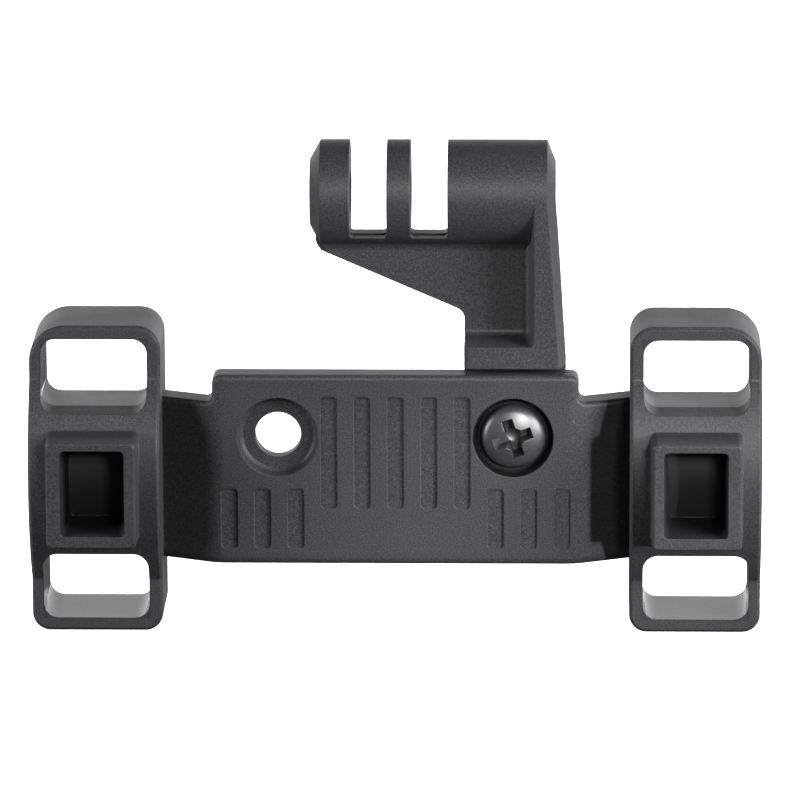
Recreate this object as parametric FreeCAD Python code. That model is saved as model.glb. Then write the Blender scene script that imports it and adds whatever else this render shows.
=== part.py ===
import FreeCAD, Part
import math
import os

# Handlebar display mount, in millimetres.
# X runs along the handlebar, Y points back to the bar and Z points up.
# The origin lies on the deepest line of the saddles, midway between the two feet.

Vector = FreeCAD.Vector

# Feet: spacer blocks that stand on the bar, each with two strap windows
bar_radius = 15.9
saddle_depth = 7.2
loop_depth = 8.7
foot_half_height = 15.75
foot_inner_x = 23.4
foot_outer_x = 36.52
foot_inner_top_corner = 2.4
foot_outer_top_corner = 3.6
foot_bottom_corner = 1.8
crease_half_height = 10.33
crease_radius = 0.5
foot_edge_chamfer = 0.28
inner_strut = 1.35
outer_strut = 1.17
loop_bar = 1.35
window_corner = 1.5
block_half_height = 7.62
block_front_taper_deg = 11.0
block_rear_taper_deg = 4.1

# Hollow bosses on the feet's fronts
boss_width = 8.9
boss_height = 10.9
boss_rise = 0.1
boss_reach = 7.0
boss_corner = 0.6
boss_draft_deg = 2.0
boss_edge_chamfer = 0.2
pocket_width = 6.4
pocket_height = 8.8
pocket_depth = 5.9
pocket_rise = 0.3
pocket_inset = 0.14
pocket_corner = 0.5
pocket_draft_deg = 4.7

# Bridge plate and its two swept-back arms
plate_half_width = 18.3
plate_top = 10.73
plate_bottom = -8.85
plate_thickness = 2.8
plate_corner = 0.9
arm_top = 7.92
notch_radius = 0.7
bend_start = 17.0
bend_radius = 5.0
bend_deg = 24.0
arm_bury = 0.6
front_edge_radius = 0.5
bottom_edge_radius = 0.9

# Shallow grip grooves in the plate
groove_pitch = 3.33
groove_width = 1.65
groove_depth = 0.25
groove_corner = 0.4
long_groove_count = 5
short_groove_count = 3
long_groove_low = -2.95
long_groove_high = 8.5
short_groove_low = -7.1
short_groove_high = -0.94

# Recessed screw holes
hole_spacing = 23.5
hole_z = 4.38
hole_radius = 2.3
recess_radius = 4.05
recess_floor_radius = 3.75
recess_floor_chamfer = 0.25
recess_depth = 1.25

# Pan head screw and its thin nut
shank_radius = 1.95
root_radius = 1.52
plain_shank = 1.1
thread_clearance = 0.13
head_radius = 3.55
head_height = 1.8
head_dome_radius = 7.1
head_shoulder = 0.7
head_under_chamfer = 0.25
tip_chamfer = 0.4
tip_overhang = 0.1
cross_span = 4.0
cross_width = 0.95
cross_depth = 1.3
cross_turn_deg = 17.0
thin_nut_thickness = 2.2
nut_flats = 7.0
nut_chamfer_deg = 30.0
nut_side_clearance = 0.12
nut_depth_clearance = 0.1

# Accessory arm: tongue, rim, web and the three-finger barrel
tongue_thickness = 3.4
tongue_below_hole = 5.3
tongue_corner = 1.6
rim_setback = 0.7
rim_gap = 0.55
rim_left_x = 6.85
column_inner_x = 13.8
base_height = 2.2
base_side_radius = 0.45
rim_inner_draft_deg = 8.0
rim_inner_corner = 0.6
web_thickness = 1.9
web_left_x = -8.0
web_left_z = 22.81
web_slope_deg = 23.5
web_left_corner = 1.6
web_lower_corner = 1.2
web_root_radius = 1.0
barrel_radius = 5.25
barrel_z = 28.2
barrel_left_x = -8.55
barrel_right_x = 15.95
left_chamfer = 1.05
left_chamfer_fall = 1.9
right_chamfer = 0.85
right_chamfer_fall = 2.1
column_chamfer = 0.7
middle_finger_left = -0.85
middle_finger_width = 2.33
slot_width = 3.72
slot_floor_z = 24.3
slot_step = 0.12
slot_corner = 0.4
cross_bore_radius = 2.2
finger_nut_radius = 2.6
finger_nut_length = 5.0
finger_nut_inset = 0.3
finger_nut_groove = 0.3
finger_nut_groove_width = 1.2
finger_nut_clearance = 0.1

# Depths worked out from the sizes above
front_y = -saddle_depth
loop_back_y = front_y + loop_depth
plate_back_y = front_y + plate_thickness
arm_back_y = plate_back_y + tongue_thickness
rim_front_y = front_y + rim_setback
web_front_y = arm_back_y - web_thickness
barrel_y = rim_front_y + barrel_radius
hole_x = hole_spacing / 2
# The arm seats on the plate's flat back, so its column ends where the bend starts.
column_foot_x = bend_start
head_seat_y = front_y + recess_depth
nut_seat_y = arm_back_y - thin_nut_thickness - nut_depth_clearance
cut_margin = 2.0


def xz(y):
    """Return a function that puts an (x, z) pair on the plane at depth y."""
    return lambda u, v: Vector(u, y, v)


def xy(z):
    """Return a function that puts an (x, y) pair on the plane at height z."""
    return lambda u, v: Vector(u, v, z)


def yz(x):
    """Return a function that puts a (y, z) pair on the plane across the bar at x."""
    return lambda u, v: Vector(x, u, v)


def rounded_wire(corners, place):
    """Return a closed wire through (u, v, radius) corners, each rounded by its radius."""
    edges = []
    ends = []
    for i, (u, v, radius) in enumerate(corners):
        here = Vector(u, v, 0)
        before = Vector(*corners[i - 1][:2], 0) - here
        after = Vector(*corners[(i + 1) % len(corners)][:2], 0) - here
        before.normalize()
        after.normalize()
        half_turn = before.getAngle(after) / 2
        setback = radius / math.tan(half_turn)
        middle = (before + after).normalize()
        reach = radius / math.sin(half_turn) - radius
        ends.append((here + before * setback, here + middle * reach, here + after * setback, radius))
    for i, (start, middle, end, radius) in enumerate(ends):
        last_end = ends[i - 1][2]
        if (start - last_end).Length > 1e-6:
            edges.append(Part.LineSegment(place(last_end.x, last_end.y), place(start.x, start.y)).toShape())
        if radius > 0:
            points = [place(p.x, p.y) for p in (start, middle, end)]
            edges.append(Part.Arc(*points).toShape())
    return Part.Wire(Part.__sortEdges__(edges))


def rounded_box_wire(low_u, high_u, low_v, high_v, radius, place):
    """Return a rounded rectangle wire between two corners."""
    corners = [(low_u, low_v), (high_u, low_v), (high_u, high_v), (low_u, high_v)]
    return rounded_wire([(u, v, radius) for u, v in corners], place)


def prism(wire, direction):
    """Return the solid that a closed wire sweeps along a direction."""
    return Part.Face(wire).extrude(direction)


def loft(*wires):
    """Return the ruled solid through closed wires."""
    return Part.makeLoft(list(wires), True, True)


def revolve(corners, centre, axis, radial):
    """Return the solid that an outline of (along, out, radius) corners sweeps round an axis."""
    wire = rounded_wire(corners, lambda along, out: centre + axis * along + radial * out)
    return Part.Face(wire).revolve(centre, axis, 360)


def wedge(near, far, corner):
    """Return the block between two (low x, high x, low z, high z, y) rectangles, long edges rounded."""
    x0, x1, z0, z1, y0 = near
    u0, u1, w0, w1, y1 = far
    solid = Part.makeWedge(x0, y0, z0, w0, u0, x1, y1, z1, w1, u1)
    edges = [edge for edge in solid.Edges if edge.BoundBox.YLength > cut_margin / 2]
    return solid.makeFillet(corner, edges)


def mirrored(shape, normal):
    """Return a shape's mirror image in the plane through the origin with this normal."""
    return shape.mirror(Vector(0, 0, 0), normal)


def hexagon(flats, place, centre_u, centre_v):
    """Return a hexagon wire with two flats facing along plus and minus u."""
    corner_radius = flats / math.sqrt(3)
    corners = []
    for step in range(6):
        angle = math.radians(90 + 60 * step)
        u = centre_u + corner_radius * math.cos(angle)
        v = centre_v + corner_radius * math.sin(angle)
        corners.append((u, v, 0))
    return rounded_wire(corners, place)


def arc_drop(radius, half_chord):
    """Return how far an arc falls back from its apex at half a chord's length."""
    return radius - math.sqrt(radius ** 2 - half_chord ** 2)


def foot_side_wire():
    """Return the foot's outline seen along the bar: flat loops, bulged front and saddle."""
    bulge = arc_drop(bar_radius, crease_half_height)
    centre_y = front_y - bulge + bar_radius
    # The crease is a small arc that touches the loop front and the bulge.
    touch_y = front_y - crease_radius
    touch_z = math.sqrt((bar_radius + crease_radius) ** 2 - (centre_y - touch_y) ** 2)
    away = Vector(0, touch_y - centre_y, touch_z).normalize()
    on_bulge = Vector(0, centre_y, 0) + away * bar_radius
    halfway = (Vector(0, 1, 0) - away).normalize()
    crease_middle = Vector(0, touch_y, touch_z) + halfway * crease_radius
    saddle_half = math.sqrt(bar_radius ** 2 - (bar_radius - loop_back_y) ** 2)
    top = foot_half_height

    def at(y, z):
        return Vector(foot_inner_x, y, z)

    def below(point):
        return at(point.y, -point.z)

    edges = [
        Part.LineSegment(at(loop_back_y, top), at(front_y, top)),
        Part.LineSegment(at(front_y, top), at(front_y, touch_z)),
        Part.Arc(at(front_y, touch_z), at(crease_middle.y, crease_middle.z), at(on_bulge.y, on_bulge.z)),
        Part.Arc(at(on_bulge.y, on_bulge.z), at(front_y - bulge, 0), below(on_bulge)),
        Part.Arc(below(on_bulge), below(crease_middle), at(front_y, -touch_z)),
        Part.LineSegment(at(front_y, -touch_z), at(front_y, -top)),
        Part.LineSegment(at(front_y, -top), at(loop_back_y, -top)),
        Part.LineSegment(at(loop_back_y, -top), at(loop_back_y, -saddle_half)),
        Part.Arc(at(loop_back_y, -saddle_half), at(0, 0), at(loop_back_y, saddle_half)),
        Part.LineSegment(at(loop_back_y, saddle_half), at(loop_back_y, top)),
    ]
    return Part.Wire([edge.toShape() for edge in edges])


def foot_blank():
    """Return the right foot before its windows are cut, with its front edges broken."""
    top = foot_half_height
    side = prism(foot_side_wire(), Vector(foot_outer_x - foot_inner_x, 0, 0))
    corners = [
        (foot_inner_x, -top, foot_bottom_corner),
        (foot_outer_x, -top, foot_bottom_corner),
        (foot_outer_x, top, foot_outer_top_corner),
        (foot_inner_x, top, foot_inner_top_corner),
    ]
    ahead_y = front_y - boss_reach
    outline = prism(rounded_wire(corners, xz(ahead_y)), Vector(0, loop_back_y + cut_margin - ahead_y, 0))
    blank = side.common(outline)
    edges = []
    for edge in blank.Edges:
        box = edge.BoundBox
        across = box.ZLength < 1e-6 and abs(box.ZMax) < top - 1e-6
        if box.YMax < front_y + 1e-6 and not across:
            edges.append(edge)
    return blank.makeChamfer(foot_edge_chamfer, edges)


def window_cut():
    """Return the cutter for the right foot's upper window, tapered away from the parting plane."""
    low_x = foot_inner_x + inner_strut
    high_x = foot_outer_x - outer_strut
    high_z = foot_half_height - loop_bar
    front_run = boss_reach
    rear_run = loop_depth + cut_margin
    front_low = block_half_height - front_run * math.tan(math.radians(block_front_taper_deg))
    rear_low = block_half_height - rear_run * math.tan(math.radians(block_rear_taper_deg))

    def outline(low_z, y):
        return rounded_box_wire(low_x, high_x, low_z, high_z, window_corner, xz(y))

    parting = outline(block_half_height, front_y)
    ahead = loft(outline(front_low, front_y - front_run), parting)
    behind = loft(parting, outline(rear_low, front_y + rear_run))
    return ahead.fuse(behind)


def boss_x():
    """Return the bosses' distance from the middle, level with the windows' centres."""
    return (foot_inner_x + inner_strut + foot_outer_x - outer_strut) / 2


def drafted_block(middle_x, middle_z, width, height, corner, low_y, high_y, grow_per_depth):
    """Return a rounded block that widens or narrows along its depth."""

    def outline(grow, y):
        half_w = width / 2 + grow
        half_h = height / 2 + grow
        return middle_x - half_w, middle_x + half_w, middle_z - half_h, middle_z + half_h, y

    return wedge(outline(0, low_y), outline(grow_per_depth * (high_y - low_y), high_y), corner)


def boss():
    """Return the right foot's boss, reaching back to the loop fronts."""
    face_y = front_y - boss_reach
    widening = math.tan(math.radians(boss_draft_deg))
    solid = drafted_block(
        boss_x(), boss_rise, boss_width, boss_height, boss_corner, face_y, front_y, widening
    )
    edges = [edge for edge in solid.Edges if edge.BoundBox.YMax < face_y + 1e-6]
    return solid.makeChamfer(boss_edge_chamfer, edges)


def boss_pocket():
    """Return the cutter for the boss's pocket, with a floor that bulges like the foot's front."""
    face_y = front_y - boss_reach
    floor_y = face_y + pocket_depth
    deep_y = floor_y + arc_drop(bar_radius, pocket_height / 2 + pocket_rise)
    narrowing = -math.tan(math.radians(pocket_draft_deg))
    middle_x = boss_x() - pocket_inset
    cut = drafted_block(
        middle_x, pocket_rise, pocket_width, pocket_height, pocket_corner, face_y, deep_y, narrowing
    )
    length = pocket_width + 2 * cut_margin
    floor = Part.makeCylinder(
        bar_radius,
        length,
        Vector(middle_x - length / 2, floor_y + bar_radius, 0),
        Vector(1, 0, 0),
    )
    return cut.cut(floor)


def foot():
    """Return the right foot: blank, windows, boss and pocket."""
    upper = window_cut()
    lower = mirrored(upper, Vector(0, 0, 1))
    solid = foot_blank().cut(upper).cut(lower)
    return solid.fuse(boss()).cut(boss_pocket())


def bend_end():
    """Return where the bend in the bridge ends: its distance out and its fall back."""
    angle = math.radians(bend_deg)
    return bend_start + bend_radius * math.sin(angle), bend_radius * (1 - math.cos(angle))


def bridge_front(x):
    """Return the depth of the bridge's front surface at a distance from the middle."""
    out = abs(x)
    end_x, end_fall = bend_end()
    if out <= bend_start:
        return front_y
    if out <= end_x:
        return front_y + arc_drop(bend_radius, out - bend_start)
    return front_y + end_fall + (out - end_x) * math.tan(math.radians(bend_deg))


def bridge_strip():
    """Return the bridge's bent strip, as tall as the plate and square at its edges."""
    angle = math.radians(bend_deg)
    end_x, end_fall = bend_end()
    tip_x = foot_inner_x + arm_bury
    centre = Vector(bend_start, front_y + bend_radius, 0)

    def half_line(depth):
        """Return the (x, y) points of one face's right half, at a depth under the front."""
        radius = bend_radius - depth
        middle = centre + Vector(math.sin(angle / 2), -math.cos(angle / 2), 0) * radius
        end = centre + Vector(math.sin(angle), -math.cos(angle), 0) * radius
        tip_y = end.y + (tip_x - end.x) * math.tan(angle)
        return [(bend_start, centre.y - radius), (middle.x, middle.y), (end.x, end.y), (tip_x, tip_y)]

    place = xy(plate_bottom)
    edges = []
    for depth in (0, plate_thickness):
        points = half_line(depth)
        for side in (-1, 1):
            start, middle, end, tip = [place(side * x, y) for x, y in points]
            edges.append(Part.Arc(start, middle, end).toShape())
            edges.append(Part.LineSegment(end, tip).toShape())
        flat = points[0]
        edges.append(Part.LineSegment(place(-flat[0], flat[1]), place(*flat)).toShape())
    for side in (-1, 1):
        tips = [place(side * tip_x, half_line(depth)[-1][1]) for depth in (0, plate_thickness)]
        edges.append(Part.LineSegment(*tips).toShape())
    wire = Part.Wire(Part.__sortEdges__(edges))
    return prism(wire, Vector(0, 0, plate_top - plate_bottom))


def bridge_blank():
    """Return the bridge with its notched outline and rounded front edges."""
    tip_x = foot_inner_x + arm_bury
    right = [
        (tip_x, plate_bottom, 0),
        (tip_x, arm_top, 0),
        (plate_half_width, arm_top, notch_radius),
        (plate_half_width, plate_top, plate_corner),
    ]
    left = [(-x, z, radius) for x, z, radius in reversed(right)]
    ahead_y = front_y - cut_margin
    reach = bridge_front(tip_x) + plate_thickness / math.cos(math.radians(bend_deg)) + cut_margin - ahead_y
    outline = prism(rounded_wire(right + left, xz(ahead_y)), Vector(0, reach, 0))
    blank = bridge_strip().common(outline)
    seams = (bend_start, bend_end()[0], tip_x)
    bottom = []
    upper = []
    for edge in blank.Edges:
        middle = edge.valueAt((edge.FirstParameter + edge.LastParameter) / 2)
        upright = edge.BoundBox.XLength < 1e-6
        on_seam = upright and any(abs(abs(middle.x) - seam) < 1e-4 for seam in seams)
        if abs(middle.y - bridge_front(middle.x)) > 1e-4 or on_seam:
            continue
        (bottom if middle.z < plate_bottom + 1e-4 else upper).append(edge)
    rounded = blank.makeFillet(bottom_edge_radius, bottom)
    kept = [
        edge
        for edge in rounded.Edges
        if any(edge.CenterOfMass.isEqual(old.CenterOfMass, 1e-4) for old in upper)
    ]
    return rounded.makeFillet(front_edge_radius, kept)


def screw_recess(x):
    """Return the cutter for one recessed screw hole: mouth, chamfered floor and through hole."""
    slope = (recess_radius - recess_floor_radius) / recess_depth
    outline = [
        (-cut_margin, 0, 0),
        (-cut_margin, recess_radius + slope * cut_margin, 0),
        (recess_depth - recess_floor_chamfer, recess_floor_radius + slope * recess_floor_chamfer, 0),
        (recess_depth, recess_floor_radius - recess_floor_chamfer, 0),
        (recess_depth, hole_radius, 0),
        (plate_thickness + cut_margin, hole_radius, 0),
        (plate_thickness + cut_margin, 0, 0),
    ]
    return revolve(outline, Vector(x, front_y, hole_z), Vector(0, 1, 0), Vector(1, 0, 0))


def grooves():
    """Return the cutters for the plate's grooves: long ones in the middle, short ones beside."""
    cutters = []
    half = (long_groove_count - 1) // 2
    reach = half + short_groove_count
    for step in range(-reach, reach + 1):
        long = abs(step) <= half
        low = long_groove_low if long else short_groove_low
        high = long_groove_high if long else short_groove_high
        x = step * groove_pitch
        wire = rounded_box_wire(
            x - groove_width / 2, x + groove_width / 2, low, high, groove_corner, xz(front_y - cut_margin)
        )
        cutters.append(prism(wire, Vector(0, cut_margin + groove_depth, 0)))
    return cutters


def bridge_bracket():
    """Return the moulded bracket: two feet joined by the bridge plate."""
    right = foot()
    left = mirrored(right, Vector(1, 0, 0))
    plate = bridge_blank()
    for cutter in [screw_recess(hole_x), screw_recess(-hole_x)] + grooves():
        plate = plate.cut(cutter)
    return right.fuse([left, plate]).removeSplitter()


def arm_nut():
    """Return the thin hexagon nut in the back of the tongue, chamfered on its open side."""
    corner_radius = nut_flats / math.sqrt(3)
    fall = (corner_radius - nut_flats / 2) * math.tan(math.radians(nut_chamfer_deg))
    blank = prism(hexagon(nut_flats, xz(nut_seat_y), hole_x, hole_z), Vector(0, thin_nut_thickness, 0))
    outline = [
        (0, root_radius + thread_clearance, 0),
        (0, corner_radius, 0),
        (thin_nut_thickness - fall, corner_radius, 0),
        (thin_nut_thickness, nut_flats / 2, 0),
        (thin_nut_thickness, root_radius + thread_clearance, 0),
    ]
    seat = Vector(hole_x, nut_seat_y, hole_z)
    return blank.common(revolve(outline, seat, Vector(0, 1, 0), Vector(1, 0, 0)))


def finger_nut_seat():
    """Return where the finger nut seats inside the barrel's right end."""
    return Vector(barrel_right_x - finger_nut_inset - finger_nut_length, barrel_y, barrel_z)


def finger_nut():
    """Return the round press-in nut of the barrel's right end, with the groove that anchors it."""
    bore = root_radius + thread_clearance
    groove_low = (finger_nut_length - finger_nut_groove_width) / 2
    groove_high = groove_low + finger_nut_groove_width
    outline = [
        (0, bore, 0),
        (0, finger_nut_radius, 0),
        (groove_low, finger_nut_radius, 0),
        (groove_low, finger_nut_radius - finger_nut_groove, 0),
        (groove_high, finger_nut_radius - finger_nut_groove, 0),
        (groove_high, finger_nut_radius, 0),
        (finger_nut_length, finger_nut_radius, 0),
        (finger_nut_length, bore, 0),
    ]
    return revolve(outline, finger_nut_seat(), Vector(1, 0, 0), Vector(0, 0, 1))


def screw_head(seat):
    """Return the pan head over its seat: a dome, a sloped shoulder and a short side."""
    rim = head_radius - head_shoulder
    rim_along = arc_drop(head_dome_radius, rim) - head_height
    side_along = rim_along + head_shoulder

    def at(along, out):
        return seat + Vector(out, along, 0)

    dome_middle = at(arc_drop(head_dome_radius, rim / 2) - head_height, rim / 2)
    edges = [
        Part.Arc(at(-head_height, 0), dome_middle, at(rim_along, rim)),
        Part.LineSegment(at(rim_along, rim), at(side_along, head_radius)),
        Part.LineSegment(at(side_along, head_radius), at(-head_under_chamfer, head_radius)),
        Part.LineSegment(at(-head_under_chamfer, head_radius), at(0, head_radius - head_under_chamfer)),
        Part.LineSegment(at(0, head_radius - head_under_chamfer), at(0, 0)),
        Part.LineSegment(at(0, 0), at(-head_height, 0)),
    ]
    wire = Part.Wire([edge.toShape() for edge in edges])
    return Part.Face(wire).revolve(seat, Vector(0, 1, 0), 360)


def arm_screw():
    """Return the pan head screw that clamps the tongue to the plate."""
    seat = Vector(hole_x, head_seat_y, hole_z)
    length = nut_seat_y + thin_nut_thickness + tip_overhang - head_seat_y
    outline = [
        (-head_height / 2, 0, 0),
        (-head_height / 2, shank_radius, 0),
        (plain_shank, shank_radius, 0),
        (plain_shank + shank_radius - root_radius, root_radius, 0),
        (length - tip_chamfer, root_radius, 0),
        (length, root_radius - tip_chamfer, 0),
        (length, 0, 0),
    ]
    solid = screw_head(seat).fuse(revolve(outline, seat, Vector(0, 1, 0), Vector(1, 0, 0)))
    for quarter in (0, 90):
        slot = Part.makeBox(
            cross_span,
            cross_depth + cut_margin,
            cross_width,
            Vector(-cross_span / 2, -cut_margin, -cross_width / 2),
        )
        slot.rotate(Vector(0, 0, 0), Vector(0, 1, 0), -(cross_turn_deg + quarter))
        slot.translate(seat + Vector(0, -head_height, 0))
        solid = solid.cut(slot)
    return solid.removeSplitter()


def barrel():
    """Return the barrel that carries the fingers, chamfered at both ends."""
    left = barrel_left_x
    right = barrel_right_x
    outline = [
        (left, 0, 0),
        (left, barrel_radius - left_chamfer_fall, 0),
        (left + left_chamfer, barrel_radius, 0),
        (right - right_chamfer, barrel_radius, 0),
        (right, barrel_radius - right_chamfer_fall, 0),
        (right, 0, 0),
    ]
    return revolve(outline, Vector(0, barrel_y, barrel_z), Vector(1, 0, 0), Vector(0, 0, 1))


def column():
    """Return the arm's column: it leans out below the barrel and keeps the barrel's end chamfer."""
    low = plate_top + rim_gap
    inner_back_x = column_inner_x - (arm_back_y - rim_front_y) * math.tan(math.radians(rim_inner_draft_deg))

    def section(side_x, chamfer, z):
        corners = [
            (column_inner_x, rim_front_y, 0),
            (side_x - chamfer, rim_front_y, 0),
            (side_x, rim_front_y + right_chamfer_fall, 0),
            (side_x, arm_back_y, 0),
            (inner_back_x, arm_back_y, 0),
        ]
        return rounded_wire(corners, xy(z))

    return loft(section(column_foot_x, column_chamfer, low), section(barrel_right_x, right_chamfer, barrel_z))


def base():
    """Return the arm's base over the plate, with a top that rises towards the web."""
    low = plate_top + rim_gap
    high = low + base_height
    rise = (arm_back_y - rim_front_y) * math.tan(math.radians(rim_inner_draft_deg))
    corners = [
        (rim_front_y, low, 0),
        (arm_back_y, low, 0),
        (arm_back_y, high + rise, 0),
        (rim_front_y, high, 0),
    ]
    reach = barrel_right_x - right_chamfer - rim_left_x
    solid = prism(rounded_wire(corners, yz(rim_left_x)), Vector(reach, 0, 0))
    middle = Vector(rim_left_x, rim_front_y, (low + high) / 2)
    side = min(solid.Edges, key=lambda edge: edge.CenterOfMass.distanceToPoint(middle))
    return solid.makeFillet(base_side_radius, [side])


def web_root():
    """Return the fillet that runs along the web under the barrel."""
    centre = Vector(0, barrel_y, barrel_z)
    round_y = web_front_y - web_root_radius
    fall = math.sqrt((barrel_radius + web_root_radius) ** 2 - (round_y - barrel_y) ** 2)
    round_centre = Vector(0, round_y, barrel_z - fall)
    on_barrel = centre + (round_centre - centre).normalize() * barrel_radius
    on_web = round_centre + Vector(0, web_root_radius, 0)
    halfway = ((on_barrel - round_centre) + (on_web - round_centre)).normalize()
    middle = round_centre + halfway * web_root_radius
    inside = Vector(0, web_front_y + web_thickness / 2, barrel_z - fall)
    start_x = barrel_left_x + left_chamfer

    def at(point):
        return Vector(start_x, point.y, point.z)

    above = Vector(0, inside.y, on_barrel.z + web_thickness / 2)
    beside = Vector(0, on_barrel.y, above.z)
    edges = [
        Part.Arc(at(on_barrel), at(middle), at(on_web)),
        Part.LineSegment(at(on_web), at(inside)),
        Part.LineSegment(at(inside), at(above)),
        Part.LineSegment(at(above), at(beside)),
        Part.LineSegment(at(beside), at(on_barrel)),
    ]
    wire = Part.Wire([edge.toShape() for edge in edges])
    return prism(wire, Vector(column_inner_x - start_x, 0, 0))


def round_rim_corners(solid):
    """Return the arm with the window's corners rounded: column to base, and both to the web."""
    draft_slope = math.tan(math.radians(rim_inner_draft_deg))
    fall = (web_front_y - rim_front_y) * draft_slope
    inner_x = column_inner_x - fall
    inner_z = plate_top + rim_gap + base_height + fall
    deep = [
        edge
        for edge in solid.Edges
        if abs(edge.BoundBox.YMin - web_front_y) < 1e-4 and edge.BoundBox.YLength < 1e-4
    ]
    upright = [
        edge
        for edge in deep
        if abs(edge.BoundBox.XMin - inner_x) < 1e-4 and edge.BoundBox.XLength < 1e-4
    ]
    level = [
        edge
        for edge in deep
        if abs(edge.BoundBox.ZMin - inner_z) < 1e-4 and edge.BoundBox.ZLength < 1e-4
    ]
    middle = Vector(column_inner_x - fall / 2, (rim_front_y + web_front_y) / 2, inner_z - fall / 2)
    corner = min(solid.Edges, key=lambda edge: edge.CenterOfMass.distanceToPoint(middle))
    return solid.makeFillet(rim_inner_corner, upright + level + [corner])


def web():
    """Return the web between barrel, column and base, with its slanted lower edge."""
    low = plate_top + rim_gap
    corner_z = web_left_z - (rim_left_x - web_left_x) * math.tan(math.radians(web_slope_deg))
    corners = [
        (web_left_x, web_left_z, web_left_corner),
        (rim_left_x, corner_z, web_lower_corner),
        (rim_left_x, low, 0),
        (column_inner_x, low, 0),
        (column_inner_x, barrel_z, 0),
        (web_left_x, barrel_z, 0),
    ]
    return prism(rounded_wire(corners, xz(web_front_y)), Vector(0, web_thickness, 0))


def tongue():
    """Return the tongue that lies against the plate's back."""
    low = hole_z - tongue_below_hole
    high = plate_top + rim_gap
    corners = [
        (rim_left_x, low, tongue_corner),
        (column_foot_x, low, tongue_corner),
        (column_foot_x, high, 0),
        (barrel_right_x, high + base_height, 0),
        (rim_left_x, high + base_height, 0),
    ]
    return prism(rounded_wire(corners, xz(plate_back_y)), Vector(0, tongue_thickness, 0))


def slot_cuts():
    """Return the cutters for the two slots: a floor with a small step over the web, and open behind it."""
    top = barrel_z + barrel_radius + cut_margin
    stretches = [
        (rim_front_y - cut_margin, web_front_y, slot_floor_z - slot_step),
        (web_front_y, arm_back_y, slot_floor_z),
        (arm_back_y, barrel_y + barrel_radius + cut_margin, barrel_z - barrel_radius - cut_margin),
    ]
    cutters = []
    for x in (middle_finger_left - slot_width, middle_finger_left + middle_finger_width):
        for start_y, end_y, floor_z in stretches:
            wire = rounded_box_wire(x, x + slot_width, floor_z, top, slot_corner, xz(start_y))
            cutters.append(prism(wire, Vector(0, end_y - start_y, 0)))
    return cutters


def finger_arm():
    """Return the moulded accessory arm with its screw hole, nut pockets and cross bore."""
    solid = round_rim_corners(barrel().fuse([column(), base(), web(), tongue()]).removeSplitter())
    solid = solid.fuse(web_root())
    along = Vector(1, 0, 0)
    back = Vector(0, 1, 0)
    nut_seat = finger_nut_seat()
    nut_bore = finger_nut_radius + finger_nut_clearance
    bore_start = Vector(barrel_left_x - cut_margin, barrel_y, barrel_z)
    screw_start = Vector(hole_x, plate_back_y - cut_margin, hole_z)
    hex_pocket = hexagon(nut_flats + 2 * nut_side_clearance, xz(nut_seat_y), hole_x, hole_z)
    cutters = slot_cuts() + [
        Part.makeCylinder(cross_bore_radius, nut_seat.x - bore_start.x, bore_start, along),
        Part.makeCylinder(nut_bore, finger_nut_length + cut_margin, nut_seat, along),
        Part.makeCylinder(hole_radius, tongue_thickness + 2 * cut_margin, screw_start, back),
        prism(hex_pocket, Vector(0, thin_nut_thickness + cut_margin, 0)),
    ]
    for cutter in cutters:
        solid = solid.cut(cutter)
    return solid.removeSplitter()


nodes = {
    "bridge_bracket": bridge_bracket(),
    "finger_arm": finger_arm(),
    "arm_screw": arm_screw(),
    "arm_nut": arm_nut(),
    "finger_nut": finger_nut(),
}

os.makedirs("parts", exist_ok=True)
for name, shape in nodes.items():
    shape.exportStep(f"parts/{name}.step")
    print(name, shape.isValid(), len(shape.Solids), "solid", round(shape.Volume, 1), "mm3")
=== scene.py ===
"""Looks of the handlebar display mount: finishes, threaded hardware, floor, light and camera."""

from __future__ import annotations

import logging
import math
from dataclasses import dataclass
from enum import Enum

import bpy
from mathutils import Matrix, Vector

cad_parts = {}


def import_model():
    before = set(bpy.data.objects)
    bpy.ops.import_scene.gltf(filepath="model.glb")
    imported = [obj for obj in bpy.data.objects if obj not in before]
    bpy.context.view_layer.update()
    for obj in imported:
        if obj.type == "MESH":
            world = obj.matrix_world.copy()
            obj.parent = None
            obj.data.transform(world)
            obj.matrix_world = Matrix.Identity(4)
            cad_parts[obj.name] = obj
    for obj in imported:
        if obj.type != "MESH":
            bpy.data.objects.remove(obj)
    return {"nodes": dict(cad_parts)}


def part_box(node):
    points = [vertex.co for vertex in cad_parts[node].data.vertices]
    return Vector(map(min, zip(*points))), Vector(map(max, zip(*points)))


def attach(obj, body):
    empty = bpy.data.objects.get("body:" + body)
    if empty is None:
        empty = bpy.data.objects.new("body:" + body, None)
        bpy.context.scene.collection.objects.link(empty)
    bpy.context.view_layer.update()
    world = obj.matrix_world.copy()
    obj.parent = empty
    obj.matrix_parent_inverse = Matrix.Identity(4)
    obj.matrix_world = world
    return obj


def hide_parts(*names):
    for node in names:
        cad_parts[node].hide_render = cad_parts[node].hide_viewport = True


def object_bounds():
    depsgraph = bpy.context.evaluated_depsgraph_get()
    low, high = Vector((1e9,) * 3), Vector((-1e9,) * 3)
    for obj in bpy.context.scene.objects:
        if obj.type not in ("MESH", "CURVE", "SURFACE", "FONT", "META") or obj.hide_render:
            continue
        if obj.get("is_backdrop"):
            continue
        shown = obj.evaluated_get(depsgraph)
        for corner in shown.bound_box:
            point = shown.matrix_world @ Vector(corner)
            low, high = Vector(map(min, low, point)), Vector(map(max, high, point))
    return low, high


LOG = logging.getLogger("handlebar_mount")
MM = 0.001
BODY = "root"
EDGE_SAMPLES = 6
SMOOTH_DEG = 32.0
MERGE_MM = 1e-4
FINE_FACETS = 96


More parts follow.
